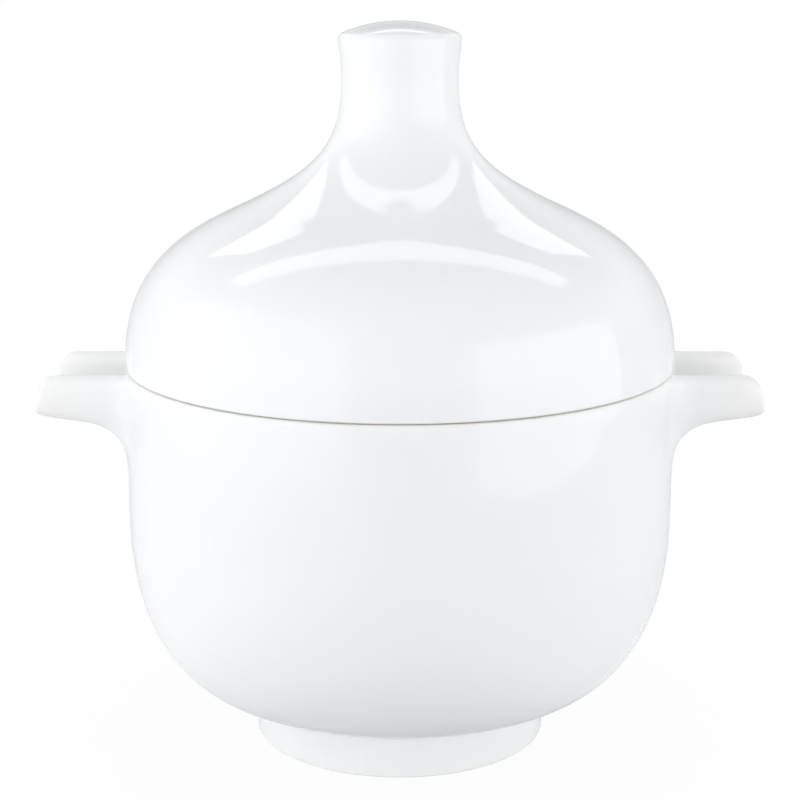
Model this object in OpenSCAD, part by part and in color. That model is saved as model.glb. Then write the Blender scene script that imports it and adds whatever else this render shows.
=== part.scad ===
// Round porcelain tureen with trough-shaped lug handles and a loose, onion-domed lid.
// Millimetres. +Z is up, the origin is on the table in the middle of the foot, the handles lie along X.

/* [Bowl] */
// Outside diameter of the upright wall
bowl_d = 200.6; // [190:0.2:216]
// Height of the rim above the table
bowl_h = 141.2; // [130:0.2:155]
// Height at which the rounded belly becomes the upright wall
belly_h = 84.6; // [76:0.2:96]
// Diameter of the flat underneath, from which the belly rises
base_d = 117.6; // [114:0.2:126]
// How far the belly's curve is drawn out along the base
belly_base_pull = 21.6; // [14:0.2:30]
// How far the belly's curve is drawn down from the upright wall
belly_wall_pull = 44.4; // [34:0.2:54]
// Thickness of wall and floor
bowl_wall = 5.2; // [4:0.1:7]
// Rounding of the rim's outer edge
rim_round = 2.4; // [1.2:0.1:2.8]
// Rounding of the rim's inner edge
rim_inner_round = 1.2; // [0.6:0.1:1.6]

/* [Foot ring] */
// Outside diameter where the ring meets the table
foot_d = 108.4; // [98:0.2:112]
// Height from the table to the bowl's underside
foot_h = 19.8; // [14:0.2:26]
// Thickness of the ring
foot_wall = 6.4; // [5:0.1:9]
// How much the ring narrows on each side towards the bowl
foot_taper = 0.5; // [0:0.1:1.5]
// Rounding of the edges on the table
foot_edge_round = 0.8; // [0.4:0.1:2]

/* [Handles] */
// Width over both walls of the trough
handle_w = 46.8; // [40:0.2:56]
// How far the tip stands out past the bowl's wall
handle_reach = 32; // [26:0.2:40]
// Height at the tip
handle_h = 16; // [14:0.1:19]
// Thickness of the trough's walls and floor
handle_wall = 5.6; // [4.4:0.1:6.6]
// How far the top lies below the rim
handle_drop = 1.2; // [0.6:0.1:4]
// How much lower the underside is at the bowl than at the tip
handle_fall = 4.6; // [0:0.1:8]
// How much further the tip reaches at the underside than at the top
handle_slant = 3.6; // [0:0.1:6]
// Outside radius of the trough's two lower corners
handle_corner = 8; // [7:0.1:10]
// Fillet between the sides and the bowl
side_fillet = 8; // [4:0.1:11]
// Fillet between the underside and the bowl
under_fillet = 12; // [6:0.1:16]
// Fillet between the inside of the trough and the bowl
inner_fillet = 2; // [1:0.1:2.2]
// Rounding of the tip's edges
tip_round = 2; // [1:0.1:2.1]
// Layer of slip between a handle's root and the bowl
slip_gap = 0.05; // [0.04:0.01:0.1]

/* [Lid] */
// Step from the bowl's wall in to the lid's lower edge
lid_step = 0.2; // [0:0.1:2]
// Thickness of the dome's wall
lid_wall = 4.6; // [3.6:0.1:6]
// Rounding of the lower outside edge
lid_edge_round = 1.7; // [1:0.1:2.4]
// Thickness of the ledge that lies on the rim
lid_ledge = 5; // [4:0.1:7]
// Play between the ledge and the rim
lid_seat_gap = 0.3; // [0.3:0.05:0.6]
// Diameter at which the bulging dome turns into the hollow sweep
turn_d = 109; // [100:0.2:118]
// Height of that turn above the lid's lower edge
turn_h = 58.4; // [52:0.2:66]
// Slope of the lid at the turn, in degrees
turn_slope = 26; // [20:0.5:32]
// How far the dome's curve is drawn up from the lower edge
dome_edge_pull = 38.5; // [32:0.2:44]
// How far the dome's curve is drawn out from the turn
dome_turn_pull = 19.8; // [14:0.2:26]
// How far the hollow sweep is drawn in from the turn
sweep_turn_pull = 27.8; // [20:0.2:34]
// How far the hollow sweep is drawn down from the knob's waist
sweep_waist_pull = 23.5; // [18:0.2:28]

/* [Flange] */
// How far the flange drops into the bowl
flange_depth = 9; // [6:0.2:14]
// Thickness of the flange
flange_wall = 4; // [3:0.1:5]
// Play between the flange and the bowl's inside
flange_play = 1; // [0.6:0.1:2]
// Rounding of the flange's lower edges
flange_round = 1.3; // [0.6:0.1:1.4]

/* [Knob] */
// Diameter of the waist
waist_d = 41.8; // [38:0.2:46]
// Height of the waist above the lid's lower edge
waist_h = 102.7; // [98:0.2:110]
// Diameter of the widest place under the top edge
knob_d = 43.9; // [40:0.1:48]
// Height from the waist to that widest place
flare_h = 13.4; // [9:0.2:18]
// How far the flare is drawn up from the waist
flare_waist_pull = 6.7; // [3:0.1:8]
// How far the flare is drawn down from the widest place
flare_edge_pull = 3.4; // [1:0.1:5]
// Rounding of the top edge
knob_edge_round = 1.8; // [1:0.1:2.4]
// How far the domed top rises above the edge
cap_rise = 4.5; // [3:0.1:6]
// Thickness of the knob's wall
knob_wall = 4.6; // [3.6:0.1:6]
// Thickness of the domed top in the middle
cap_thick = 6; // [5:0.1:9]
// Rounding at the top of the hollow inside
hollow_round = 4; // [2:0.2:6]

/* [Hidden] */
$fn = 144;

GLAZE = [0.95, 0.95, 0.94];

// Straight pieces in each drawn curve and in each rounded edge
CURVE_STEPS = 22;
EDGE_STEPS = 6;

bowl_r = bowl_d / 2;
bowl_inner_r = bowl_r - bowl_wall;
base_r = base_d / 2;

lid_r = bowl_r - lid_step;
lid_z = bowl_h + lid_seat_gap;
turn = [turn_d / 2, lid_z + turn_h];
waist = [waist_d / 2, lid_z + waist_h];
flange_r = bowl_inner_r - flange_play;
flange_inner_r = flange_r - flange_wall;

// Share of the hollow sweep that belongs to the dome; the rest is the knob
SEAM_SHARE = 0.5;

handle_half_wall = handle_wall / 2;
handle_top = bowl_h - handle_drop;
trough_y = handle_w / 2 - handle_half_wall;
trough_corner = handle_corner - handle_half_wall;
trough_floor_tip = handle_top - handle_h + handle_half_wall;

// Subdivisions of a handle: legs, corners and floor of its section, fillet, shaft and tip along it,
// and rows across its wall
LEG_STEPS = 3;
CORNER_STEPS = 5;
FLOOR_STEPS = 7;
FILLET_STEPS = 7;
SHAFT_STEPS = 3;
TIP_STEPS = 3;
WALL_ROWS = 4;

// Steps from 0 to 1, both ends included
function steps(n) = [for (i = [0:n]) i / n];
function mix(a, b, share) = a + (b - a) * share;

// A curve of four points is [start, start's pull, end's pull, end]
function on_curve(c, t) =
    (1 - t)^3 * c[0] + 3 * (1 - t)^2 * t * c[1] + 3 * (1 - t) * t^2 * c[2] + t^3 * c[3];

// Direction of the curve, which is never zero in the curves used here
function along_curve(c, t) =
    (1 - t)^2 * (c[1] - c[0]) + 2 * (1 - t) * t * (c[2] - c[1]) + t^2 * (c[3] - c[2]);

// Point at a depth under the curve, on the side to the left of its direction
function under_curve(c, t, depth) =
    let (v = along_curve(c, t))
    on_curve(c, t) + depth * [-v[1], v[0]] / norm(v);

// Quarter or part of a circle from one angle to another
function arc(centre, r, from, to, n = EDGE_STEPS) =
    [for (s = steps(n)) centre + r * [cos(mix(from, to, s)), sin(mix(from, to, s))]];

function reversed(list) = [for (i = [len(list) - 1:-1:0]) list[i]];

belly = [
    [base_r, foot_h],
    [base_r + belly_base_pull, foot_h],
    [bowl_r, belly_h - belly_wall_pull],
    [bowl_r, belly_h]
];

turn_dir = [cos(turn_slope), -sin(turn_slope)];
dome = [
    [lid_r, lid_z + lid_edge_round],
    [lid_r, lid_z + lid_edge_round + dome_edge_pull],
    turn + dome_turn_pull * turn_dir,
    turn
];
sweep = [
    turn,
    turn - sweep_turn_pull * turn_dir,
    waist - [0, sweep_waist_pull],
    waist
];

module bowl() {
    outside = [for (t = steps(CURVE_STEPS)) on_curve(belly, t)];
    inside = [for (t = steps(CURVE_STEPS)) under_curve(belly, t, bowl_wall)];
    rim = concat(
        arc([bowl_r - rim_round, bowl_h - rim_round], rim_round, 0, 90),
        arc([bowl_inner_r + rim_inner_round, bowl_h - rim_inner_round], rim_inner_round, 90, 180));
    outline = concat([[0, foot_h]], outside, rim, reversed(inside), [[0, foot_h + bowl_wall]]);
    color(GLAZE) rotate_extrude() polygon(outline);
}

module foot_ring() {
    r = foot_d / 2;
    inner_r = r - foot_wall;
    outline = concat(
        arc([r - foot_edge_round, foot_edge_round], foot_edge_round, -90, 0),
        [[r - foot_taper, foot_h], [inner_r - foot_taper, foot_h]],
        arc([inner_r + foot_edge_round, foot_edge_round], foot_edge_round, 180, 270));
    color(GLAZE) rotate_extrude() polygon(outline);
}

// Middle line of the trough's section from one top edge to the other, as [point, outward normal] in Y and Z
function trough_line(floor_z) =
    let (
        leg_top = handle_top - handle_half_wall,
        leg_foot = floor_z + trough_corner,
        corner_y = trough_y - trough_corner,
        leg = [for (s = steps(LEG_STEPS)) [[trough_y, mix(leg_top, leg_foot, s)], [1, 0]]],
        corner = [for (i = [1:CORNER_STEPS])
            let (a = -90 * i / CORNER_STEPS, n = [cos(a), sin(a)])
            [[corner_y, leg_foot] + trough_corner * n, n]],
        floor = [for (i = [1:FLOOR_STEPS - 1])
            [[mix(corner_y, -corner_y, i / FLOOR_STEPS), floor_z], [0, -1]]],
        half = concat(leg, corner),
        other = [for (p = reversed(half)) [[-p[0][0], p[0][1]], [-p[1][0], p[1][1]]]]
    )
    concat(half, floor, other);

// Fillet's radius on the outside, where the surface faces along n
function outer_fillet(n) = side_fillet * n[0]^2 + under_fillet * n[1]^2;

// Upright wall of the bowl as the handle's root meets it
function wall_x(y) = sqrt((bowl_r + slip_gap)^2 - y^2);
function tip_x(z) = bowl_r + handle_reach - handle_slant * (z - handle_top + handle_h) / handle_h;

// A station along the handle is [fillet angle, share of the shaft, angle round the tip's edge].
// The fillet angle runs from 0 at the bowl's wall to 90 where the shaft begins.
stations = concat(
    [for (s = steps(FILLET_STEPS)) [90 * s, 0, 0]],
    [for (i = [1:SHAFT_STEPS]) [90, i / SHAFT_STEPS, 0]],
    [for (i = [1:TIP_STEPS]) [90, 1, 90 * i / TIP_STEPS]]);

// Point of the handle, from its place across the section and the fillet's radius there
function handle_point(yz, fillet, s) =
    let (
        start = wall_x(yz[0]) + fillet * (1 - cos(s[0])),
        end = tip_x(yz[1]) - tip_round * (1 - sin(s[2]))
    )
    [mix(start, end, s[1]), yz[0], yz[1]];

// Rounded top edge of a wall, between its outer and inner points, without these two
function top_edge(outer, inner, height, outer_r) =
    let (middle = (outer + inner) / 2, half = (outer - inner) / 2)
    [for (i = [1:WALL_ROWS - 1])
        let (a = 180 * i / WALL_ROWS)
        [middle + half * cos(a) + [0, height * sin(a)], mix(outer_r, inner_fillet, i / WALL_ROWS)]];

// Closed ring of points round the section at a station: outside, top edge, inside, other top edge
function handle_ring(s) =
    let (
        share = mix(under_fillet * (1 - cos(s[0])) / handle_reach, 1, s[1]),
        line = trough_line(trough_floor_tip - handle_fall * (1 - share)),
        last = len(line) - 1,
        draw = tip_round * (1 - cos(s[2])),
        half = handle_half_wall - draw,
        grow = 1 - sin(s[0]),
        outer = [for (p = line) p[0] + (half + outer_fillet(p[1]) * grow) * p[1]],
        inner = [for (p = line) p[0] - (half + inner_fillet * grow) * p[1]],
        flat = concat(
            [for (i = [0:last]) [outer[i], outer_fillet(line[i][1])]],
            top_edge(outer[last], inner[last], half, side_fillet),
            [for (p = reversed(inner)) [p, inner_fillet]],
            reversed(top_edge(outer[0], inner[0], half, side_fillet)))
    )
    [for (p = flat) handle_point(p[0], p[1], s)];

// Rows of points that close an end of the handle, between the outer and the inner points of its ring
function end_rows(ring, on_wall) =
    [for (j = [1:WALL_ROWS - 1], i = [0:LINE_LAST])
        let (p = mix(ring[i], ring[inner_index(i)], j / WALL_ROWS))
        on_wall ? [wall_x(p[1]), p[1], p[2]] : p];

LINE_LAST = 2 * (LEG_STEPS + CORNER_STEPS + 1) + FLOOR_STEPS - 2;
RING = 2 * (LINE_LAST + 1) + 2 * (WALL_ROWS - 1);
function inner_index(i) = 2 * LINE_LAST + WALL_ROWS - i;

// Faces of an end: strips across the wall and one strip in each rounded top edge.
// first is the ring's own first index, rows that of the rows that close it.
function end_faces(first, rows) =
    let (
        at = function (i, j) j == 0 ? first + i
            : j == WALL_ROWS ? first + inner_index(i)
            : rows + (j - 1) * (LINE_LAST + 1) + i,
        far_edge = function (j) j == 0 ? at(LINE_LAST, 0)
            : j == WALL_ROWS ? at(LINE_LAST, WALL_ROWS)
            : first + LINE_LAST + j,
        near_edge = function (j) j == 0 ? at(0, 0)
            : j == WALL_ROWS ? at(0, WALL_ROWS)
            : first + RING - j
    )
    concat(
        [for (i = [0:LINE_LAST - 1], j = [0:WALL_ROWS - 1]) each [
            [at(i, j), at(i + 1, j), at(i + 1, j + 1)],
            [at(i, j), at(i + 1, j + 1), at(i, j + 1)]]],
        [for (j = [0:WALL_ROWS - 1]) each [
            if (j > 0) [at(LINE_LAST, j), far_edge(j), at(LINE_LAST, j + 1)],
            if (j < WALL_ROWS - 1) [far_edge(j), far_edge(j + 1), at(LINE_LAST, j + 1)],
            if (j > 0) [at(0, j), at(0, j + 1), near_edge(j)],
            if (j < WALL_ROWS - 1) [near_edge(j), at(0, j + 1), near_edge(j + 1)]]]);

function flipped(faces) = [for (f = faces) reversed(f)];

module handle() {
    rings = [for (s = stations) handle_ring(s)];
    last = len(rings) - 1;
    root_rows = len(rings) * RING;
    tip_rows = root_rows + (WALL_ROWS - 1) * (LINE_LAST + 1);
    points = concat(
        [for (ring = rings) each ring],
        end_rows(rings[0], true),
        end_rows(rings[last], false));
    sides = [for (k = [0:last - 1], v = [0:RING - 1])
        let (a = k * RING + v, b = k * RING + (v + 1) % RING)
        each [[a, b, b + RING], [a, b + RING, a + RING]]];
    faces = concat(sides, flipped(end_faces(0, root_rows)), end_faces(last * RING, tip_rows));
    polyhedron(points, faces);
}

module handle_left() {
    color(GLAZE) rotate([0, 0, 180]) handle();
}

module handle_right() {
    color(GLAZE) handle();
}

module lid_dome() {
    seam_steps = [for (i = [1:CURVE_STEPS / 2]) SEAM_SHARE * i / (CURVE_STEPS / 2)];
    outside = concat(
        [for (t = steps(CURVE_STEPS)) on_curve(dome, t)],
        [for (t = seam_steps) on_curve(sweep, t)]);
    roof = concat(
        [for (t = steps(CURVE_STEPS)) under_curve(dome, t, lid_wall)],
        [for (t = seam_steps) under_curve(sweep, t, lid_wall)]);
    // The roof ends where it meets the sloping top of the ledge
    ledge_top = lid_z + lid_ledge;
    inside = [for (p = roof) if (p[1] > ledge_top + lid_wall) p];
    outline = concat(
        arc([lid_r - lid_edge_round, lid_z + lid_edge_round], lid_edge_round, -90, 0),
        [for (i = [1:len(outside) - 1]) outside[i]],
        reversed(inside),
        [[flange_inner_r, ledge_top], [flange_inner_r, lid_z]]);
    color(GLAZE) rotate_extrude() polygon(outline);
}

module lid_flange() {
    low = lid_z - flange_depth;
    outline = concat(
        arc([flange_r - flange_round, low + flange_round], flange_round, -90, 0),
        [[flange_r, lid_z], [flange_inner_r, lid_z]],
        arc([flange_inner_r + flange_round, low + flange_round], flange_round, 180, 270));
    color(GLAZE) rotate_extrude() polygon(outline);
}

module lid_knob() {
    edge = [knob_d / 2, waist[1] + flare_h];
    flare = [waist, waist + [0, flare_waist_pull], edge - [0, flare_edge_pull], edge];
    seam_steps = [for (s = steps(CURVE_STEPS / 2)) mix(SEAM_SHARE, 1, s)];
    // The domed top is a shallow arc across the rounded edge
    rim_r = edge[0] - knob_edge_round;
    rim_z = edge[1] + knob_edge_round;
    cap_r = (rim_r^2 + cap_rise^2) / (2 * cap_rise);
    cap_angle = asin(rim_r / cap_r);
    cap_centre = [0, rim_z + cap_rise - cap_r];
    hollow_r = waist[0] - knob_wall;
    hollow_top = rim_z + cap_rise - cap_thick;
    outline = concat(
        [for (t = seam_steps) on_curve(sweep, t)],
        [for (i = [1:EDGE_STEPS]) on_curve(flare, i / EDGE_STEPS)],
        [for (i = [1:EDGE_STEPS])
            let (a = mix(0, 90 - cap_angle, i / EDGE_STEPS))
            [rim_r, edge[1]] + knob_edge_round * [cos(a), sin(a)]],
        [for (i = [1:CURVE_STEPS])
            let (a = mix(90 - cap_angle, 90, i / CURVE_STEPS))
            cap_centre + cap_r * [cos(a), sin(a)]],
        [[0, hollow_top]],
        arc([hollow_r - hollow_round, hollow_top - hollow_round], hollow_round, 90, 0),
        [for (t = reversed(seam_steps)) under_curve(sweep, t, mix(lid_wall, knob_wall, t))]);
    color(GLAZE) rotate_extrude() polygon(outline);
}

bowl();
foot_ring();
handle_left();
handle_right();
lid_dome();
lid_flange();
lid_knob();
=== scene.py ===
"""A white porcelain tureen: round bowl with two trough-shaped lugs, foot ring and a loose onion-domed lid."""
import math

import bmesh
import bpy
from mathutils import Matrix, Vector
from mathutils.geometry import interpolate_bezier


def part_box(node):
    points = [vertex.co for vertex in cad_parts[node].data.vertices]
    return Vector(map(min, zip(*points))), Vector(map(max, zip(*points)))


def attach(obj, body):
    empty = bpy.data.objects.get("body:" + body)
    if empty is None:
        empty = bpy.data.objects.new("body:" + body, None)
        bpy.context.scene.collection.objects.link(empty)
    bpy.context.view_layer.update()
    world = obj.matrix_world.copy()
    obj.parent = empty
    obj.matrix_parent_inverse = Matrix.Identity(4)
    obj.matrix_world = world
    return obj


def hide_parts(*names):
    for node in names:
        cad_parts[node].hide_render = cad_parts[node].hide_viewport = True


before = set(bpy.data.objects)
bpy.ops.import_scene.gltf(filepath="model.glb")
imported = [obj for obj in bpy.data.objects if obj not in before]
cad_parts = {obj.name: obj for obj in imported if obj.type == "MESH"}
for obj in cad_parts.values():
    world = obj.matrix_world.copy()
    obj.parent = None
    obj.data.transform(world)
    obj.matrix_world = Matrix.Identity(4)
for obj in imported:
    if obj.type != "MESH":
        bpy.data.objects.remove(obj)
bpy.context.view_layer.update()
MM = 0.001

# Sizes that the frame gives
bowl_low, bowl_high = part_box("bowl")
foot_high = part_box("foot_ring")[1]
lug_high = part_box("handle_right")[1]
lid_low, lid_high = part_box("lid_dome")
flange_low, flange_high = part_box("lid_flange")
knob_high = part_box("lid_knob")[1]
BOWL_R = bowl_high.x
RIM_Z = bowl_high.z
BASE_Z = bowl_low.z
FOOT_R = foot_high.x
LUG_TOP = lug_high.z
LUG_TIP = lug_high.x
LID_R = lid_high.x
LID_Z = lid_low.z
FLANGE_R = flange_high.x
FLANGE_LOW = flange_low.z
KNOB_TOP = knob_high.z

# Bowl: the belly's curve, its wall and its rim
BASE_R = 58.8 * MM
BELLY_Z = 84.6 * MM
BELLY_BASE_PULL = 21.6 * MM
BELLY_WALL_PULL = 44.4 * MM
BOWL_WALL = 5.2 * MM
RIM_ROUND = 1.8 * MM
RIM_INNER_ROUND = 1.2 * MM

# Foot ring
FOOT_WALL = 6.4 * MM
FOOT_TAPER = 0.5 * MM
FOOT_EDGE = 0.8 * MM
FOOT_FILLET = 1.2 * MM

# Lugs: a trough open at the top and at the tip, faired into the bowl's wall
LUG_HALF_W = 23.4 * MM
LUG_WALL = 5.6 * MM
LUG_H = 16 * MM
LUG_FALL = 4.6 * MM
LUG_SLANT = 3.6 * MM
LUG_CORNER = 8 * MM
SIDE_FILLET = 8 * MM
UNDER_FILLET = 12 * MM
INNER_FILLET = 2 * MM

# Lid: dome, hollow sweep, waist and flared knob
LID_WALL = 4.6 * MM
DOME_START = 1.7 * MM
LID_LIP = 0.8 * MM
LID_LEDGE = 5 * MM
TURN_R = 54.5 * MM
TURN_RISE = 58.4 * MM
TURN_SLOPE = math.radians(26)
DOME_EDGE_PULL = 38.5 * MM
DOME_TURN_PULL = 19.8 * MM
SWEEP_TURN_PULL = 27.8 * MM
SWEEP_WAIST_PULL = 23.5 * MM
WAIST_R = 20.9 * MM
WAIST_RISE = 102.7 * MM
KNOB_R = 21.95 * MM
FLARE_H = 13.4 * MM
FLARE_WAIST_PULL = 6.7 * MM
FLARE_EDGE_PULL = 3.4 * MM
KNOB_EDGE = 2.4 * MM
CAP_THICK = 6 * MM
KNOB_WALL = 4.6 * MM
HOLLOW_ROUND = 4 * MM
FLANGE_WALL = 4 * MM
FLANGE_ROUND = 1.3 * MM

# How far the foot ring and the flange are sunk into the piece that carries them
SINK = 0.3 * MM

# How finely the pieces are turned
CAGE_SIDES = 80
CAGE_GROW = 3 / (2 + math.cos(math.tau / CAGE_SIDES))
TURN_SIDES = 240
SMOOTH_LEVELS = 2


def curve(start, start_pull, end_pull, end, count):
    """Points along a drawn curve, both ends included."""
    knots = [Vector((x, z, 0)) for x, z in (start, start_pull, end_pull, end)]
    return [(p.x, p.y) for p in interpolate_bezier(*knots, count)]


def arc(centre, radius, start, end, count):
    """Points along part of a circle, both ends included, with the angles in degrees."""
    turns = [math.radians(start + (end - start) * i / (count - 1)) for i in range(count)]
    return [(centre[0] + radius * math.cos(a), centre[1] + radius * math.sin(a)) for a in turns]


def inset(points, depth):
    """The same line, moved by a depth to the left of its direction."""
    moved = []
    for i, (x, z) in enumerate(points):
        before = points[max(i - 1, 0)]
        after = points[min(i + 1, len(points) - 1)]
        dx, dz = after[0] - before[0], after[1] - before[1]
        length = math.hypot(dx, dz)
        moved.append((x - dz / length * depth, z + dx / length * depth))
    return moved


def mix(a, b, share):
    return a + (b - a) * share


def mesh_of(piece):
    return bmesh.from_edit_mesh(piece.data)


def turned(name, outline, sides):
    """A piece turned on the wheel: its outline is drawn point by point and spun. It is left in edit mode."""
    bpy.ops.object.select_all(action="DESELECT")
    bpy.ops.mesh.primitive_plane_add(size=MM)
    piece = bpy.context.active_object
    piece.name = name
    piece.data.name = name
    bpy.ops.object.mode_set(mode="EDIT")
    bpy.ops.mesh.select_mode(type="VERT")
    bpy.ops.mesh.merge(type="CENTER")
    bpy.ops.transform.translate(value=(outline[0][0], 0, outline[0][1]))
    for (r0, z0), (r1, z1) in zip(outline, outline[1:]):
        bpy.ops.mesh.extrude_vertices_move(TRANSFORM_OT_translate={"value": (r1 - r0, 0, z1 - z0)})
    bpy.ops.mesh.select_all(action="SELECT")
    bpy.ops.mesh.spin(steps=sides, angle=math.tau, center=(0, 0, 0), axis=(0, 0, 1))
    bpy.ops.mesh.select_all(action="SELECT")
    bpy.ops.mesh.remove_doubles(threshold=0.002 * MM)
    bpy.ops.mesh.normals_make_consistent(inside=False)
    return piece


def finished(piece, body, *nodes):
    """Leaves edit mode, smooths the shading and gives the piece its place in the frame."""
    bpy.ops.object.mode_set(mode="OBJECT")
    bpy.ops.object.shade_smooth()
    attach(piece, body)
    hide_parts(*nodes)
    return piece


def cage_line(points):
    """Cage points whose smoothed line runs through the given points; the two ends stay."""
    wanted = [Vector(p) for p in points]
    cage = [p.copy() for p in wanted]
    for _ in range(30):
        for i in range(1, len(cage) - 1):
            smooth = (cage[i - 1] + 4 * cage[i] + cage[i + 1]) / 6
            cage[i] += wanted[i] - smooth
    return [tuple(p) for p in cage]


# Bowl and lugs

# Rows of the cage: on the floor, on the upright wall below the lugs, on the wall's inside,
# and from under a lug up to the rim
FLOOR_ROWS = [18 * MM, 36 * MM, 49 * MM]
WALL_ROW = 96 * MM
INSIDE_ROWS = [136 * MM, 124 * MM, 110 * MM, 97 * MM]
LUG_ROWS = [108 * MM, 117.6 * MM, 127.2 * MM, 132.6 * MM, 138.2 * MM]
TOP_ROW = len(LUG_ROWS)
# Columns of the cage, counted from the middle of a lug to the inside and the outside of its side wall
INNER_COLUMN = 2
OUTER_COLUMN = 4
CORNER_STEP = math.radians(22.5)
# How much more the upper corner of a tip is drawn in than its other edges
TIP_CORNER = 1.6
# How a lug's side wall rounds over: where that begins below the top, and the drop, pull and crown of its cage
TOP_BEGIN = 4 * MM
TOP_DROP = 1 * MM
TOP_PULL = 0.5 * MM
TOP_CROWN = 1.8 * MM
RIM_CUT = RIM_ROUND * (1 - math.cos(math.pi / 4))
RIM_BEND = (BOWL_R - RIM_CUT, RIM_Z - RIM_CUT)


def bowl_outline():
    """The bowl's cage line, and where in it the rows of the lugs begin."""
    belly = curve((BASE_R, BASE_Z), (BASE_R + BELLY_BASE_PULL, BASE_Z), (BOWL_R, BELLY_Z - BELLY_WALL_PULL),
                  (BOWL_R, BELLY_Z), 13)
    inner_r = BOWL_R - BOWL_WALL
    inner_z = BASE_Z + BOWL_WALL
    under = [(r, BASE_Z) for r in [0] + FLOOR_ROWS]
    wall = [(BOWL_R, z) for z in [WALL_ROW] + LUG_ROWS]
    rim = [RIM_BEND, (BOWL_R - RIM_ROUND, RIM_Z), (inner_r + RIM_INNER_ROUND, RIM_Z),
           (inner_r + 0.3 * RIM_INNER_ROUND, RIM_Z - 0.3 * RIM_INNER_ROUND),
           (inner_r, RIM_Z - RIM_INNER_ROUND)]
    inside = inset(belly, BOWL_WALL)[::-1]
    floor = [(r, inner_z) for r in FLOOR_ROWS[::-1] + [0]]
    down = [(inner_r, z) for z in INSIDE_ROWS]
    points = cage_line(under + belly + wall + rim + down + inside + floor)
    return [(r * CAGE_GROW, z) for r, z in points], len(under) + len(belly) + 1


def lug_section(column, row, floor):
    """Place of a cage point in a lug's section, its facing there and its fillet, from its column and row."""
    outer_y, inner_y = LUG_HALF_W, LUG_HALF_W - LUG_WALL
    begin = LUG_TOP - TOP_BEGIN
    legs = {3: mix(floor + LUG_CORNER, begin, 0.5), 4: begin, 5: LUG_TOP - TOP_DROP}
    if column == OUTER_COLUMN and row > 2:
        return outer_y - (TOP_PULL if row == TOP_ROW else 0), legs[row], (1, 0), SIDE_FILLET
    if column == INNER_COLUMN and row > 2:
        return inner_y + (TOP_PULL if row == TOP_ROW else 0), legs[row], (-1, 0), INNER_FILLET
    if column == 3 and row > 2:
        crown = TOP_CROWN if row == TOP_ROW else 0
        return (outer_y + inner_y) / 2, legs[row] + crown, (0, 0), mix(SIDE_FILLET, INNER_FILLET, 0.5)
    if row == 0 or column == OUTER_COLUMN:
        if column < INNER_COLUMN:
            return (outer_y - LUG_CORNER) * column / INNER_COLUMN, floor, (0, -1), UNDER_FILLET
        turn = CORNER_STEP * ((2 - row) + (OUTER_COLUMN - column))
        facing = (math.cos(turn), -math.sin(turn))
        fillet = SIDE_FILLET * facing[0] ** 2 + UNDER_FILLET * facing[1] ** 2
        return (outer_y - LUG_CORNER + LUG_CORNER * facing[0], floor + LUG_CORNER + LUG_CORNER * facing[1],
                facing, fillet)
    if row == 2 and column <= INNER_COLUMN:
        facing = (-math.sqrt(0.5), math.sqrt(0.5)) if column == INNER_COLUMN else (0, 1)
        return inner_y * column / INNER_COLUMN, floor + LUG_WALL, facing, INNER_FILLET
    # Points inside the wall's thickness, which only the closed tip keeps
    ends = {(3, 2): ((4, 2), (2, 2)), (3, 1): ((4, 0), (2, 2))}
    a, b = ends.get((column, row), ((column, 0), (column, 2)))
    ya, za, _, fa = lug_section(*a, floor)
    yb, zb, _, fb = lug_section(*b, floor)
    return (ya + yb) / 2, (za + zb) / 2, (0, 0), (fa + fb) / 2


def lug_point(column, row, side, fillet_turn, share, draw_in):
    """Place of a cage point at a station of a lug: round the root's fillet, along the shaft or at the tip."""
    sign = -1 if column < 0 else 1
    root_share = UNDER_FILLET * (1 - math.cos(fillet_turn)) / (LUG_TIP - BOWL_R)
    floor = LUG_TOP - LUG_H - LUG_FALL * (1 - mix(root_share, 1, share))
    y, z, facing, fillet = lug_section(abs(column), row, floor)
    grow = (1 - math.sin(fillet_turn)) * fillet
    y += facing[0] * (grow - draw_in[0 if facing[0] >= 0 else 1])
    z += facing[1] * (grow - draw_in[0 if facing[1] <= 0 else 1])
    wall_r = BOWL_R * CAGE_GROW
    if row >= TOP_ROW - 1:
        wall_z = LUG_ROWS[-1] if row < TOP_ROW else RIM_BEND[1]
        wall_r = wall_r if row < TOP_ROW else RIM_BEND[0]
        z = mix(z, wall_z, 1 - math.sin(fillet_turn))
        z -= TIP_CORNER * draw_in[0] if row == TOP_ROW else 0
    start = math.sqrt(wall_r ** 2 - y ** 2) + fillet * (1 - math.cos(fillet_turn))
    end = LUG_TIP - LUG_SLANT * (z - LUG_TOP + LUG_H) / LUG_H
    end -= TIP_CORNER * draw_in[0] if row == TOP_ROW else 0
    x = mix(start, end, share)
    return side * x, side * y * sign, z


# Stations of a lug as fillet angle in degrees, share of the way to the tip, and how far the outer and
# the inner faces are drawn in
LUG_STATIONS = [
    (30, 0, (0, 0)),
    (60, 0, (0, 0)),
    (90, 0, (0, 0)),
    (90, 0.4, (0, 0)),
    (90, 0.7, (0, 0.1 * MM)),
    (90, 0.88, (0.1 * MM, 0.7 * MM)),
    (90, 1, (0.9 * MM, 1.9 * MM)),
]


def in_lug_patch(column, row):
    """Whether the wall's face that starts at this column and row belongs to a lug's root."""
    return column < OUTER_COLUMN and (row < 2 or INNER_COLUMN <= column) and 0 <= row < TOP_ROW


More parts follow.
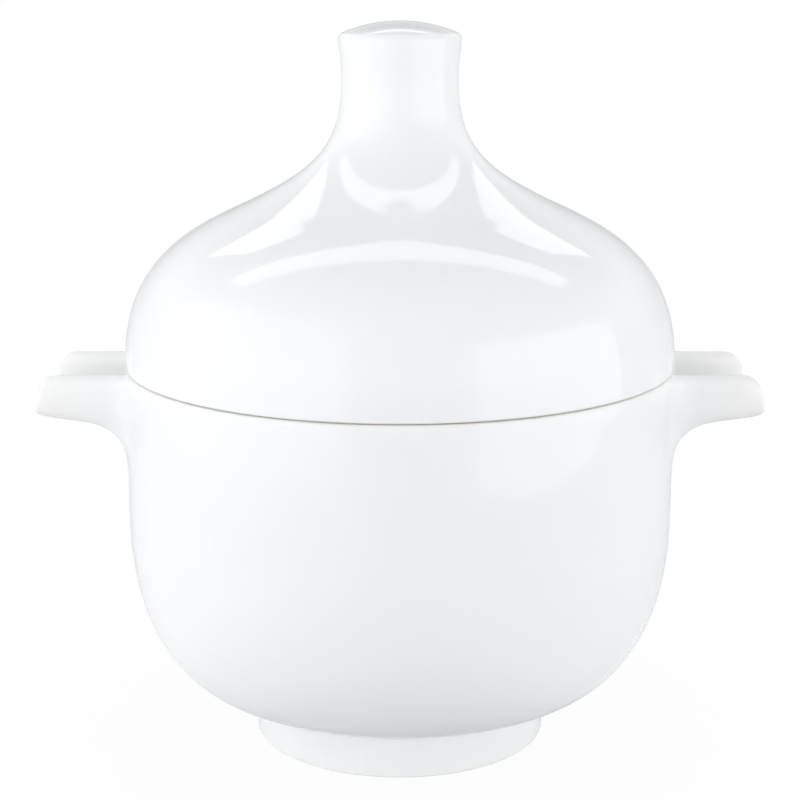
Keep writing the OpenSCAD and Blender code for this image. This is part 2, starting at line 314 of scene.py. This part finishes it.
def bowl_with_lugs():
    outline, first_row = bowl_outline()
    piece = turned("bowl_and_lugs", outline, CAGE_SIDES)
    mesh = mesh_of(piece)
    column_of = mesh.verts.layers.int.new("column")
    row_of = mesh.verts.layers.int.new("row")
    side_of = mesh.verts.layers.int.new("side")
    heights = [z for r, z in outline[first_row:first_row + TOP_ROW + 1]]
    step = math.tau / CAGE_SIDES
    for v in mesh.verts:
        v[row_of] = -1
        radius = math.hypot(v.co.x, v.co.y)
        if radius < BOWL_R - 1.5 * MM:
            continue
        v[side_of] = 1 if v.co.x > 0 else -1
        v[column_of] = round(math.atan2(v.co.y * v[side_of], v.co.x * v[side_of]) / step)
        nearest = min(range(len(heights)), key=lambda i: abs(heights[i] - v.co.z))
        if abs(heights[nearest] - v.co.z) < 0.1 * MM and abs(v[column_of]) <= OUTER_COLUMN:
            v[row_of] = nearest
    bpy.ops.mesh.select_mode(type="FACE")
    bpy.ops.mesh.select_all(action="DESELECT")
    for face in mesh.faces:
        if min(v[row_of] for v in face.verts) < 0:
            continue
        columns = [v[column_of] for v in face.verts]
        face.select = in_lug_patch(min(abs(c) for c in columns), min(v[row_of] for v in face.verts))
    for v in mesh.verts:
        if v.select and 0 <= v[row_of] < TOP_ROW - 1:
            v.co = lug_point(v[column_of], v[row_of], v[side_of], 0, 0, (0, 0))
    for turn, share, draw_in in LUG_STATIONS:
        bpy.ops.mesh.extrude_region_move()
        mesh = mesh_of(piece)
        column_of, row_of, side_of = (mesh.verts.layers.int[n] for n in ("column", "row", "side"))
        for v in mesh.verts:
            if v.select:
                v.co = lug_point(v[column_of], v[row_of], v[side_of], math.radians(turn), share, draw_in)
    bpy.ops.mesh.select_all(action="SELECT")
    bpy.ops.mesh.normals_make_consistent(inside=False)
    bpy.ops.object.mode_set(mode="OBJECT")
    bpy.ops.object.modifier_add(type="SUBSURF")
    smooth = piece.modifiers[-1]
    smooth.levels = SMOOTH_LEVELS
    smooth.render_levels = SMOOTH_LEVELS
    bpy.ops.object.modifier_apply(modifier=smooth.name)
    return finished(piece, "bowl", "bowl", "handle_left", "handle_right")


# Foot ring

def foot():
    inner = FOOT_R - FOOT_WALL
    top = BASE_Z + SINK
    neck = FOOT_R - FOOT_TAPER
    inner_neck = inner - FOOT_TAPER
    outline = (
        arc((FOOT_R - FOOT_EDGE, FOOT_EDGE), FOOT_EDGE, -90, 0, 7)
        + [(mix(FOOT_R, neck, t), mix(FOOT_EDGE, BASE_Z - FOOT_FILLET, t)) for t in (0.25, 0.5, 0.75)]
        + arc((neck + FOOT_FILLET, BASE_Z - FOOT_FILLET), FOOT_FILLET, 180, 100, 7)
        + [(neck + FOOT_FILLET, top), (inner_neck - FOOT_FILLET, top)]
        + arc((inner_neck - FOOT_FILLET, BASE_Z - FOOT_FILLET), FOOT_FILLET, 80, 0, 7)
        + [(mix(inner_neck, inner, t), mix(BASE_Z - FOOT_FILLET, FOOT_EDGE, t)) for t in (0.25, 0.5, 0.75)]
        + arc((inner + FOOT_EDGE, FOOT_EDGE), FOOT_EDGE, 180, 270, 7)
    )
    piece = turned("foot_ring_glazed", outline + outline[:1], TURN_SIDES)
    return finished(piece, "bowl", "foot_ring")


# Lid

def lid_outlines():
    """Outside and inside of dome, sweep and knob, from the lower edge up to the middle of the cap."""
    turn = (TURN_R, LID_Z + TURN_RISE)
    waist = (WAIST_R, LID_Z + WAIST_RISE)
    along = (math.cos(TURN_SLOPE), -math.sin(TURN_SLOPE))
    edge = (LID_R, LID_Z + DOME_START)
    dome = curve(edge, (LID_R, edge[1] + DOME_EDGE_PULL),
                 (turn[0] + DOME_TURN_PULL * along[0], turn[1] + DOME_TURN_PULL * along[1]), turn, 44)
    sweep = curve(turn, (turn[0] - SWEEP_TURN_PULL * along[0], turn[1] - SWEEP_TURN_PULL * along[1]),
                  (WAIST_R, waist[1] - SWEEP_WAIST_PULL), waist, 36)
    flare_top = (KNOB_R, waist[1] + FLARE_H)
    flare = curve(waist, (WAIST_R, waist[1] + FLARE_WAIST_PULL), (KNOB_R, flare_top[1] - FLARE_EDGE_PULL),
                  flare_top, 14)
    # The cap's shallow arc runs smoothly into the rounded edge
    rim_r = KNOB_R - KNOB_EDGE
    cap_h = KNOB_TOP - flare_top[1]
    cap_r = (rim_r ** 2 + cap_h ** 2 - KNOB_EDGE ** 2) / (2 * (cap_h - KNOB_EDGE))
    lean = math.degrees(math.asin(rim_r / (cap_r - KNOB_EDGE)))
    cap = arc((0, KNOB_TOP - cap_r), cap_r, 90 - lean, 90, 18)
    outside = (dome[:-1] + sweep[:-1] + flare[:-1]
               + arc((rim_r, flare_top[1]), KNOB_EDGE, 0, 90 - lean, 9)[:-1] + cap)
    ledge_top = LID_Z + LID_LEDGE
    shell = inset(dome[:-1] + sweep, LID_WALL)
    hollow_r = WAIST_R - KNOB_WALL
    hollow_top = KNOB_TOP - CAP_THICK
    inside = ([p for p in shell if p[1] > ledge_top + LID_WALL]
              + arc((hollow_r - HOLLOW_ROUND, hollow_top - HOLLOW_ROUND), HOLLOW_ROUND, 0, 90, 7)
              + [(0, hollow_top)])
    return outside, inside


def lid():
    outside, inside = lid_outlines()
    inner = FLANGE_R - FLANGE_WALL
    ledge = [(inner, LID_Z + LID_LEDGE), (inner, LID_Z)]
    lip = arc((LID_R - LID_LIP, LID_Z + LID_LIP), LID_LIP, -90, 0, 7)
    outline = inside[::-1] + ledge + lip + outside
    piece = turned("lid_shell", outline, TURN_SIDES)
    return finished(piece, "lid", "lid_dome", "lid_knob")


def flange():
    inner = FLANGE_R - FLANGE_WALL
    top = LID_Z + SINK
    outline = (
        arc((FLANGE_R - FLANGE_ROUND, FLANGE_LOW + FLANGE_ROUND), FLANGE_ROUND, -90, 0, 8)
        + [(FLANGE_R, top), (inner, top)]
        + arc((inner + FLANGE_ROUND, FLANGE_LOW + FLANGE_ROUND), FLANGE_ROUND, 180, 270, 8)
    )
    piece = turned("lid_flange_ring", outline + outline[:1], TURN_SIDES)
    return finished(piece, "lid", "lid_flange")


# Finishes

def mark_curving(piece):
    """Keeps on each point how sharply the surface bends there, per metre: edges above 0, hollows below."""
    mesh = bmesh.new()
    mesh.from_mesh(piece.data)
    curving = mesh.verts.layers.float.new("curving")
    for v in mesh.verts:
        bends = [v.normal.dot(v.co - e.other_vert(v).co) / e.calc_length() ** 2 for e in v.link_edges]
        v[curving] = sum(bends) / len(bends)
    mesh.to_mesh(piece.data)
    mesh.free()


def new_group(name, inputs, outputs):
    """A node group with named sockets, each given as its kind, its name and, for an input, its value."""
    group = bpy.data.node_groups.new(name, "ShaderNodeTree")
    for kind, label, value in inputs:
        socket = group.interface.new_socket(label, in_out="INPUT", socket_type="NodeSocket" + kind)
        if kind != "Vector":
            socket.default_value = value
    for kind, label in outputs:
        group.interface.new_socket(label, in_out="OUTPUT", socket_type="NodeSocket" + kind)
    return group, group.nodes.new("NodeGroupInput").outputs, group.nodes.new("NodeGroupOutput").inputs


def noise(tree, place, scale, detail):
    """Cloudy noise; the scale is a number or the socket that gives it."""
    node = tree.nodes.new("ShaderNodeTexNoise")
    node.inputs["Detail"].default_value = detail
    node.inputs["Roughness"].default_value = 0.6
    if isinstance(scale, (int, float)):
        node.inputs["Scale"].default_value = scale
    else:
        tree.links.new(scale, node.inputs["Scale"])
    tree.links.new(place, node.inputs["Vector"])
    return node.outputs["Fac"]


def spread(tree, value, low, high, to_low=0, to_high=1):
    """The value's range from low to high, eased out to another range and held at its ends."""
    node = tree.nodes.new("ShaderNodeMapRange")
    node.interpolation_type = "SMOOTHSTEP"
    for label, number in (("From Min", low), ("From Max", high), ("To Min", to_low), ("To Max", to_high)):
        if isinstance(number, (int, float)):
            node.inputs[label].default_value = number
        else:
            tree.links.new(number, node.inputs[label])
    tree.links.new(value, node.inputs["Value"])
    return node.outputs["Result"]


def maths(tree, operation, a, b):
    node = tree.nodes.new("ShaderNodeMath")
    node.operation = operation
    for socket, value in zip(node.inputs, (a, b)):
        if isinstance(value, (int, float)):
            socket.default_value = value
        else:
            tree.links.new(value, socket)
    return node.outputs[0]


def blend(tree, share, a, b):
    """Mixes two colours, each a socket or a written colour."""
    node = tree.nodes.new("ShaderNodeMix")
    node.data_type = "RGBA"
    tree.links.new(share, node.inputs["Factor"])
    for socket, colour in ((node.inputs[6], a), (node.inputs[7], b)):
        if isinstance(colour, tuple):
            socket.default_value = colour + (1,)
        else:
            tree.links.new(colour, socket)
    return node.outputs[2]


def thickness_and_shade_group():
    """Where the glaze drew back from an edge, and the hollows, greyer partly from pooled glaze and partly
    from painted shade.
    """
    group, given, out = new_group("glaze_thickness_and_shade", [("Vector", "Place", None)],
                                  [("Float", "Thin"), ("Float", "Pooled and shaded")])
    bends = group.nodes.new("ShaderNodeAttribute")
    bends.attribute_name = "curving"
    uneven = spread(group, noise(group, given["Place"], 90, 3), 0.3, 0.7, -14, 14)
    bend = maths(group, "ADD", bends.outputs["Fac"], uneven)
    group.links.new(spread(group, bend, 25, 150), out["Thin"])
    # Hollows: partly pooled glaze, partly painted shade
    group.links.new(spread(group, bend, -25, -120), out["Pooled and shaded"])
    return group


def cloud_group():
    """A colour that drifts between two tones, with a finer mottling in it."""
    inputs = [("Vector", "Place", None), ("Float", "Scale", 10), ("Color", "Pale", (1, 1, 1, 1)),
              ("Color", "Deep", (0, 0, 0, 1))]
    group, given, out = new_group("drifting_tone", inputs, [("Color", "Tone")])
    broad = noise(group, given["Place"], given["Scale"], 3)
    fine = noise(group, given["Place"], maths(group, "MULTIPLY", given["Scale"], 14), 2)
    share = maths(group, "ADD", maths(group, "MULTIPLY", broad, 0.75), maths(group, "MULTIPLY", fine, 0.25))
    group.links.new(blend(group, spread(group, share, 0.35, 0.65), given["Pale"], given["Deep"]), out["Tone"])
    return group


def relief_group():
    """Height of a surface that swells broadly and is finely grained as well."""
    inputs = [("Vector", "Place", None), ("Float", "Swell scale", 40), ("Float", "Grain scale", 900),
              ("Float", "Grain share", 0.1)]
    group, given, out = new_group("clay_relief", inputs, [("Float", "Height")])
    swell = noise(group, given["Place"], given["Swell scale"], 1)
    grain = noise(group, given["Place"], given["Grain scale"], 2)
    grain = maths(group, "MULTIPLY", grain, given["Grain share"])
    group.links.new(maths(group, "ADD", swell, grain), out["Height"])
    return group


def speck_group():
    """A few small dots: one in some of the cells of a scattered grid."""
    inputs = [("Vector", "Place", None), ("Float", "Scale", 60), ("Float", "Size", 0.02),
              ("Float", "Share", 0.1)]
    group, given, out = new_group("kiln_specks", inputs, [("Float", "Speck")])
    cells = group.nodes.new("ShaderNodeTexVoronoi")
    group.links.new(given["Place"], cells.inputs["Vector"])
    group.links.new(given["Scale"], cells.inputs["Scale"])
    chance = group.nodes.new("ShaderNodeSeparateColor")
    group.links.new(cells.outputs["Color"], chance.inputs["Color"])
    chosen = maths(group, "LESS_THAN", chance.outputs["Red"], given["Share"])
    size = maths(group, "MULTIPLY", given["Size"], chance.outputs["Green"])
    dot = spread(group, cells.outputs["Distance"], maths(group, "MULTIPLY", size, 0.5), size, 1, 0)
    group.links.new(maths(group, "MULTIPLY", dot, chosen), out["Speck"])
    return group


def placed(tree, group, place, **values):
    """A group set into a material, with its values; its name's spaces are written as underscores."""
    node = tree.nodes.new("ShaderNodeGroup")
    node.node_tree = group
    tree.links.new(place, node.inputs["Place"])
    for label, value in values.items():
        node.inputs[label.replace("_", " ")].default_value = value
    return node.outputs


def new_finish(name, roughness):
    """A material with one shader: its node tree, the shader's sockets and the place on the piece."""
    material = bpy.data.materials.new(name)
    material.use_nodes = True
    tree = material.node_tree
    shader = tree.nodes["Principled BSDF"].inputs
    shader["Roughness"].default_value = roughness
    place = tree.nodes.new("ShaderNodeTexCoord").outputs["Object"]
    return material, tree, shader, place


def raise_surface(tree, shader, height, distance):
    bump = tree.nodes.new("ShaderNodeBump")
    bump.inputs["Distance"].default_value = distance
    tree.links.new(height, bump.inputs["Height"])
    tree.links.new(bump.outputs["Normal"], shader["Normal"])


def white_glaze(thickness_and_shade, clouds, relief, specks):
    """Glossy clear glaze on white porcelain, warmer on thin edges, greyer and warmer in hollows from pooled
    glaze and painted shade, and painted warmer on the lugs for light bounced there.
    """
    material, tree, shader, place = new_finish("white_glaze", 0.06)
    glaze = placed(tree, thickness_and_shade, place)
    tone = placed(tree, clouds, place, Scale=11, Pale=(0.872, 0.868, 0.849, 1),
                  Deep=(0.86, 0.857, 0.839, 1))["Tone"]
    tone = blend(tree, glaze["Thin"], tone, (0.87, 0.861, 0.835))
    # Hollows are painted greyer and warmer: partly pooled glaze, partly painted shade and bounce light
    tone = blend(tree, glaze["Pooled and shaded"], tone, (0.83, 0.832, 0.812))
    flat = tree.nodes.new("ShaderNodeVectorMath")
    flat.operation = "MULTIPLY"
    flat.inputs[1].default_value = (1, 1, 0)
    tree.links.new(place, flat.inputs[0])
    out_from_middle = tree.nodes.new("ShaderNodeVectorMath")
    out_from_middle.operation = "LENGTH"
    tree.links.new(flat.outputs["Vector"], out_from_middle.inputs[0])
    # The lugs are painted warmer towards their tips, as painted warm light bounced round them
    lug_bounce_warmth = spread(tree, out_from_middle.outputs["Value"], BOWL_R + 8 * MM, BOWL_R + 28 * MM)
    tone = blend(tree, lug_bounce_warmth, tone, (0.872, 0.86, 0.822))
    dots = placed(tree, specks, place, Scale=55, Size=0.022, Share=0.035)["Speck"]
    tone = blend(tree, maths(tree, "MULTIPLY", dots, 0.5), tone, (0.42, 0.36, 0.3))
    tree.links.new(tone, shader["Base Color"])
    gloss = spread(tree, noise(tree, place, 70, 4), 0.35, 0.75, 0.045, 0.085)
    gloss = maths(tree, "ADD", gloss, maths(tree, "MULTIPLY", glaze["Thin"], 0.05))
    tree.links.new(maths(tree, "ADD", gloss, maths(tree, "MULTIPLY", dots, 0.2)), shader["Roughness"])
    height = placed(tree, relief, place, Swell_scale=38, Grain_scale=620, Grain_share=0.012)["Height"]
    raise_surface(tree, shader, height, 0.00012)
    return material


def bare_clay(clouds, relief, specks):
    """Fired clay without glaze, on the foot's standing face and on the seats of rim and lid."""
    material, tree, shader, place = new_finish("bare_clay", 0.75)
    tone = placed(tree, clouds, place, Scale=45, Pale=(0.8, 0.765, 0.7, 1),
                  Deep=(0.72, 0.675, 0.6, 1))["Tone"]
    dots = placed(tree, specks, place, Scale=420, Size=0.2, Share=0.12)["Speck"]
    tone = blend(tree, maths(tree, "MULTIPLY", dots, 0.4), tone, (0.4, 0.33, 0.26))
    tree.links.new(tone, shader["Base Color"])
    tree.links.new(spread(tree, noise(tree, place, 260, 4), 0.3, 0.7, 0.62, 0.86), shader["Roughness"])
    height = placed(tree, relief, place, Swell_scale=350, Grain_scale=2600, Grain_share=0.6)["Height"]
    raise_surface(tree, shader, height, 0.00008)
    return material


def dress(pieces):
    """Glazes the pieces, but for the foot's standing face and the faces that meet at the rim."""
    clouds, relief, specks = cloud_group(), relief_group(), speck_group()
    glaze = white_glaze(thickness_and_shade_group(), clouds, relief, specks)
    clay = bare_clay(clouds, relief, specks)
    for piece in pieces:
        mark_curving(piece)
        piece.data.materials.clear()
        piece.data.materials.append(glaze)
        piece.data.materials.append(clay)
        for face in piece.data.polygons:
            low = face.normal.z < -0.9
            stands = low and face.center.z < 0.5 * MM
            lies = low and abs(face.center.z - LID_Z) < 0.1 * MM
            seat = face.normal.z > 0.97 and abs(face.center.z - RIM_Z) < 0.3 * MM
            face.material_index = 1 if stands or lies or seat else 0


# Studio

# The light is a little cooler than white
DAYLIGHT = (0.97, 0.992, 1.035)
GAP_SHADE = 0.45
HAZE_SHADE = 0.45
CEILING_SHADE = 0.25


def softbox(name, place, towards, width, height, radiance, core=(0.95, 0.95), lights=True, shows=True):
    """A rectangular soft light that the camera doesn't see, even in its core and fading from there.

    It lights the tureen, or shows mirrored in the glaze, or both.
    """
    lamp = bpy.data.lights.new(name, "AREA")
    lamp.shape = "RECTANGLE"
    lamp.size = width
    lamp.size_y = height
    lamp.energy = radiance * math.pi * width * height
    lamp.color = DAYLIGHT
    lamp.use_nodes = True
    nodes, links = lamp.node_tree.nodes, lamp.node_tree.links
    place_on = nodes.new("ShaderNodeNewGeometry")
    from_middle = nodes.new("ShaderNodeVectorMath")
    from_middle.operation = "SUBTRACT"
    from_middle.inputs[1].default_value = (0.5, 0.5, 0)
    links.new(place_on.outputs["Parametric"], from_middle.inputs[0])
    either_side = nodes.new("ShaderNodeVectorMath")
    either_side.operation = "ABSOLUTE"
    links.new(from_middle.outputs[0], either_side.inputs[0])
    fade = nodes.new("ShaderNodeMapRange")
    fade.data_type = "FLOAT_VECTOR"
    fade.interpolation_type = "SMOOTHSTEP"
    fade.inputs[7].default_value = (0.5 * core[0], 0.5 * core[1], 0)
    fade.inputs[8].default_value = (0.5,) * 3
    fade.inputs[9].default_value = (1,) * 3
    fade.inputs[10].default_value = (0,) * 3
    links.new(either_side.outputs[0], fade.inputs[6])
    across = nodes.new("ShaderNodeSeparateXYZ")
    links.new(fade.outputs[1], across.inputs[0])
    both = nodes.new("ShaderNodeMath")
    both.operation = "MULTIPLY"
    links.new(across.outputs["X"], both.inputs[0])
    links.new(across.outputs["Y"], both.inputs[1])
    links.new(both.outputs[0], nodes["Emission"].inputs["Strength"])
    box = bpy.data.objects.new(name, lamp)
    bpy.context.scene.collection.objects.link(box)
    box.location = place
    box.rotation_mode = "QUATERNION"
    box.rotation_quaternion = (Vector(towards) - Vector(place)).to_track_quat("-Z", "Y")
    box.visible_camera = False
    box.visible_diffuse = lights
    box.visible_glossy = shows


def studio_air(from_afar, from_low):
    """White all round, and soft light with its strengths along x, y and z, from afar and from low down.

    Mirrored in a glaze, the air is greyer above and low down behind the tureen, with a dark gap straight
    behind it between the white backdrop and the lights.
    """
    world = bpy.data.worlds.new("studio_air")
    bpy.context.scene.world = world
    world.use_nodes = True
    tree = world.node_tree
    nodes, links = tree.nodes, tree.links
    place = nodes.new("ShaderNodeTexCoord").outputs["Generated"]
    either_way = nodes.new("ShaderNodeVectorMath")
    either_way.operation = "ABSOLUTE"
    links.new(place, either_way.inputs[0])
    along = nodes.new("ShaderNodeSeparateXYZ")
    links.new(place, along.inputs[0])
    across, back, up = along.outputs["X"], along.outputs["Y"], along.outputs["Z"]
    levels = []
    for strengths in (from_afar, from_low):
        level = nodes.new("ShaderNodeVectorMath")
        level.operation = "DOT_PRODUCT"
        links.new(either_way.outputs["Vector"], level.inputs[0])
        level.inputs[1].default_value = strengths
        levels.append(level.outputs["Value"])
    low = maths(tree, "MULTIPLY", levels[1], spread(tree, up, 0.05, 0.3, 1, 0))
    dim = nodes["Background"]
    dim.inputs["Color"].default_value = DAYLIGHT + (1,)
    links.new(maths(tree, "ADD", levels[0], low), dim.inputs["Strength"])
    rays = nodes.new("ShaderNodeLightPath").outputs
    gap = maths(tree, "MULTIPLY", spread(tree, up, 0.2, 0.4), spread(tree, up, 0.58, 0.53, 0, GAP_SHADE))
    gap = maths(tree, "MULTIPLY", gap, spread(tree, maths(tree, "ABSOLUTE", across, 0), 0.26, 0.1))
    gap = maths(tree, "MULTIPLY", gap, spread(tree, back, 0.2, 0.6))
    haze = spread(tree, up, 0, 0.45, HAZE_SHADE, 0)
    haze = maths(tree, "MULTIPLY", haze, spread(tree, back, -0.2, 0.2))
    mirrored = maths(tree, "MAXIMUM", rays["Is Glossy Ray"], rays["Is Transmission Ray"])
    ceiling = spread(tree, up, 0.35, 0.55, 0, CEILING_SHADE)
    shade = maths(tree, "MULTIPLY", maths(tree, "ADD", gap, maths(tree, "ADD", haze, ceiling)), mirrored)
    white = nodes.new("ShaderNodeBackground")
    white.inputs["Color"].default_value = (1, 1, 1, 1)
    links.new(maths(tree, "SUBTRACT", 1, shade), white.inputs["Strength"])
    choose = nodes.new("ShaderNodeMixShader")
    links.new(maths(tree, "MAXIMUM", rays["Is Camera Ray"], mirrored), choose.inputs["Fac"])
    links.new(dim.outputs["Background"], choose.inputs[1])
    links.new(white.outputs["Background"], choose.inputs[2])
    links.new(choose.outputs["Shader"], nodes["World Output"].inputs["Surface"])


def table_top():
    """White table that meets the white all round and takes a shadow.

    Its colour is painted so that its light on the tureen is greyer straight before and behind it and whiter
    close round the foot; in the glaze it shows a painted shadow close round the foot.
    """
    bpy.ops.object.select_all(action="DESELECT")
    bpy.ops.mesh.primitive_plane_add(size=80)
    floor = bpy.context.active_object
    floor.name = "table_top"
    material = bpy.data.materials.new("white_table")
    material.use_nodes = True
    tree = material.node_tree
    nodes, links = tree.nodes, tree.links
    nodes.remove(nodes["Principled BSDF"])
    matt = nodes.new("ShaderNodeBsdfDiffuse")
    white = nodes.new("ShaderNodeEmission")
    place = nodes.new("ShaderNodeTexCoord").outputs["Object"]
    away = nodes.new("ShaderNodeVectorMath")
    away.operation = "LENGTH"
    links.new(place, away.inputs[0])
    distance = away.outputs["Value"]
    along = nodes.new("ShaderNodeSeparateXYZ")
    links.new(place, along.inputs[0])
    aside = maths(tree, "ABSOLUTE", along.outputs["X"], 0)
    # The table's matt colour is painted darker straight before and behind the tureen and paler close round
    # the foot: painted shade and painted light in what it bounces onto the tureen
    shade = blend(tree, spread(tree, aside, 0.02, 0.1), (0.4, 0.4, 0.4), (0.82, 0.82, 0.82))
    shade = blend(tree, spread(tree, distance, 0.11, 0.075), shade, (0.88, 0.88, 0.88))
    links.new(shade, matt.inputs["Color"])
    rays = nodes.new("ShaderNodeLightPath").outputs
    seen = maths(tree, "MULTIPLY", rays["Is Camera Ray"], spread(tree, distance, 0.055, 0.18, 0.94, 1))
    mirrored = maths(tree, "MAXIMUM", rays["Is Glossy Ray"], rays["Is Transmission Ray"])
    # Mirrored in the glaze, the table's glow is a painted shadow close round the foot, brightest at about 0.1
    # m and greyer further out
    level = spread(tree, distance, 0.06, 0.1, 0.1, 0.75)
    level = maths(tree, "SUBTRACT", level, spread(tree, distance, 0.1, 0.24, 0, 0.5))
    mirrored = maths(tree, "MULTIPLY", mirrored, level)
    meet = nodes.new("ShaderNodeMixShader")
    links.new(maths(tree, "ADD", seen, mirrored), meet.inputs["Fac"])
    links.new(matt.outputs["BSDF"], meet.inputs[1])
    links.new(white.outputs["Emission"], meet.inputs[2])
    links.new(meet.outputs["Shader"], nodes["Material Output"].inputs["Surface"])
    floor.data.materials.append(material)


# The camera's lens in mm, its distance and height in metres and its dip in degrees
LENS = 86.33
CAMERA_BACK = 690.92 * MM
CAMERA_UP = 288.09 * MM
CAMERA_DIP = 13.1936


def camera():
    data = bpy.data.cameras.new("camera")
    data.sensor_width = 36
    data.lens = LENS
    data.clip_start = 0.01
    view = bpy.data.objects.new("camera", data)
    bpy.context.scene.collection.objects.link(view)
    view.location = (0, -CAMERA_BACK, CAMERA_UP)
    view.rotation_euler = (math.radians(90 - CAMERA_DIP), 0, 0)
    bpy.context.scene.camera = view


dress([bowl_with_lugs(), foot(), lid(), flange()])

# A panel lights the tureen and a sheen only shows in the glaze. A sheen stands just before its panel.
softbox("left_panel", (-0.344, -0.141, 0.257), (0.466, 0.445, 0.257), 0.707, 0.485, 0.36,
        core=(0.97, 0.8), shows=False)
softbox("left_sheen", (-0.341, -0.139, 0.257), (0.469, 0.447, 0.257), 0.707, 0.485, 0.78,
        core=(0.97, 0.8), lights=False)
softbox("right_panel", (0.416, -0.187, 0.2), (0.054, 0.158, 0.2), 0.61, 0.37, 0.19,
        core=(0.97, 0.97), shows=False)
softbox("right_sheen", (0.413, -0.184, 0.2), (0.051, 0.161, 0.2), 0.61, 0.37, 1.05,
        core=(0.97, 0.97), lights=False)
for side in (-1, 1):
    softbox("back_sheen", (side * 0.241, 0.3, 0.515), (side * 0.241, 0, 0.515), 0.134, 0.17, 1.5,
            lights=False)
softbox("back_strip", (0, 0.45, 0.64), (0, 0, 0.264), 0.3, 0.03, 2.2, lights=False)
softbox("top_light", (0, 0.1, 0.8), (0, 0.1, 0), 1.245, 0.15, 1.6, shows=False)
softbox("top_sheen", (0, 0.2, 0.797), (0, 0.2, 0), 1.245, 0.15, 1.7, lights=False)
studio_air((0.58, 0.38, 0.23), (3.2, 2.2, 0))
table_top()
camera()
bpy.context.scene.view_settings.view_transform = "Standard"
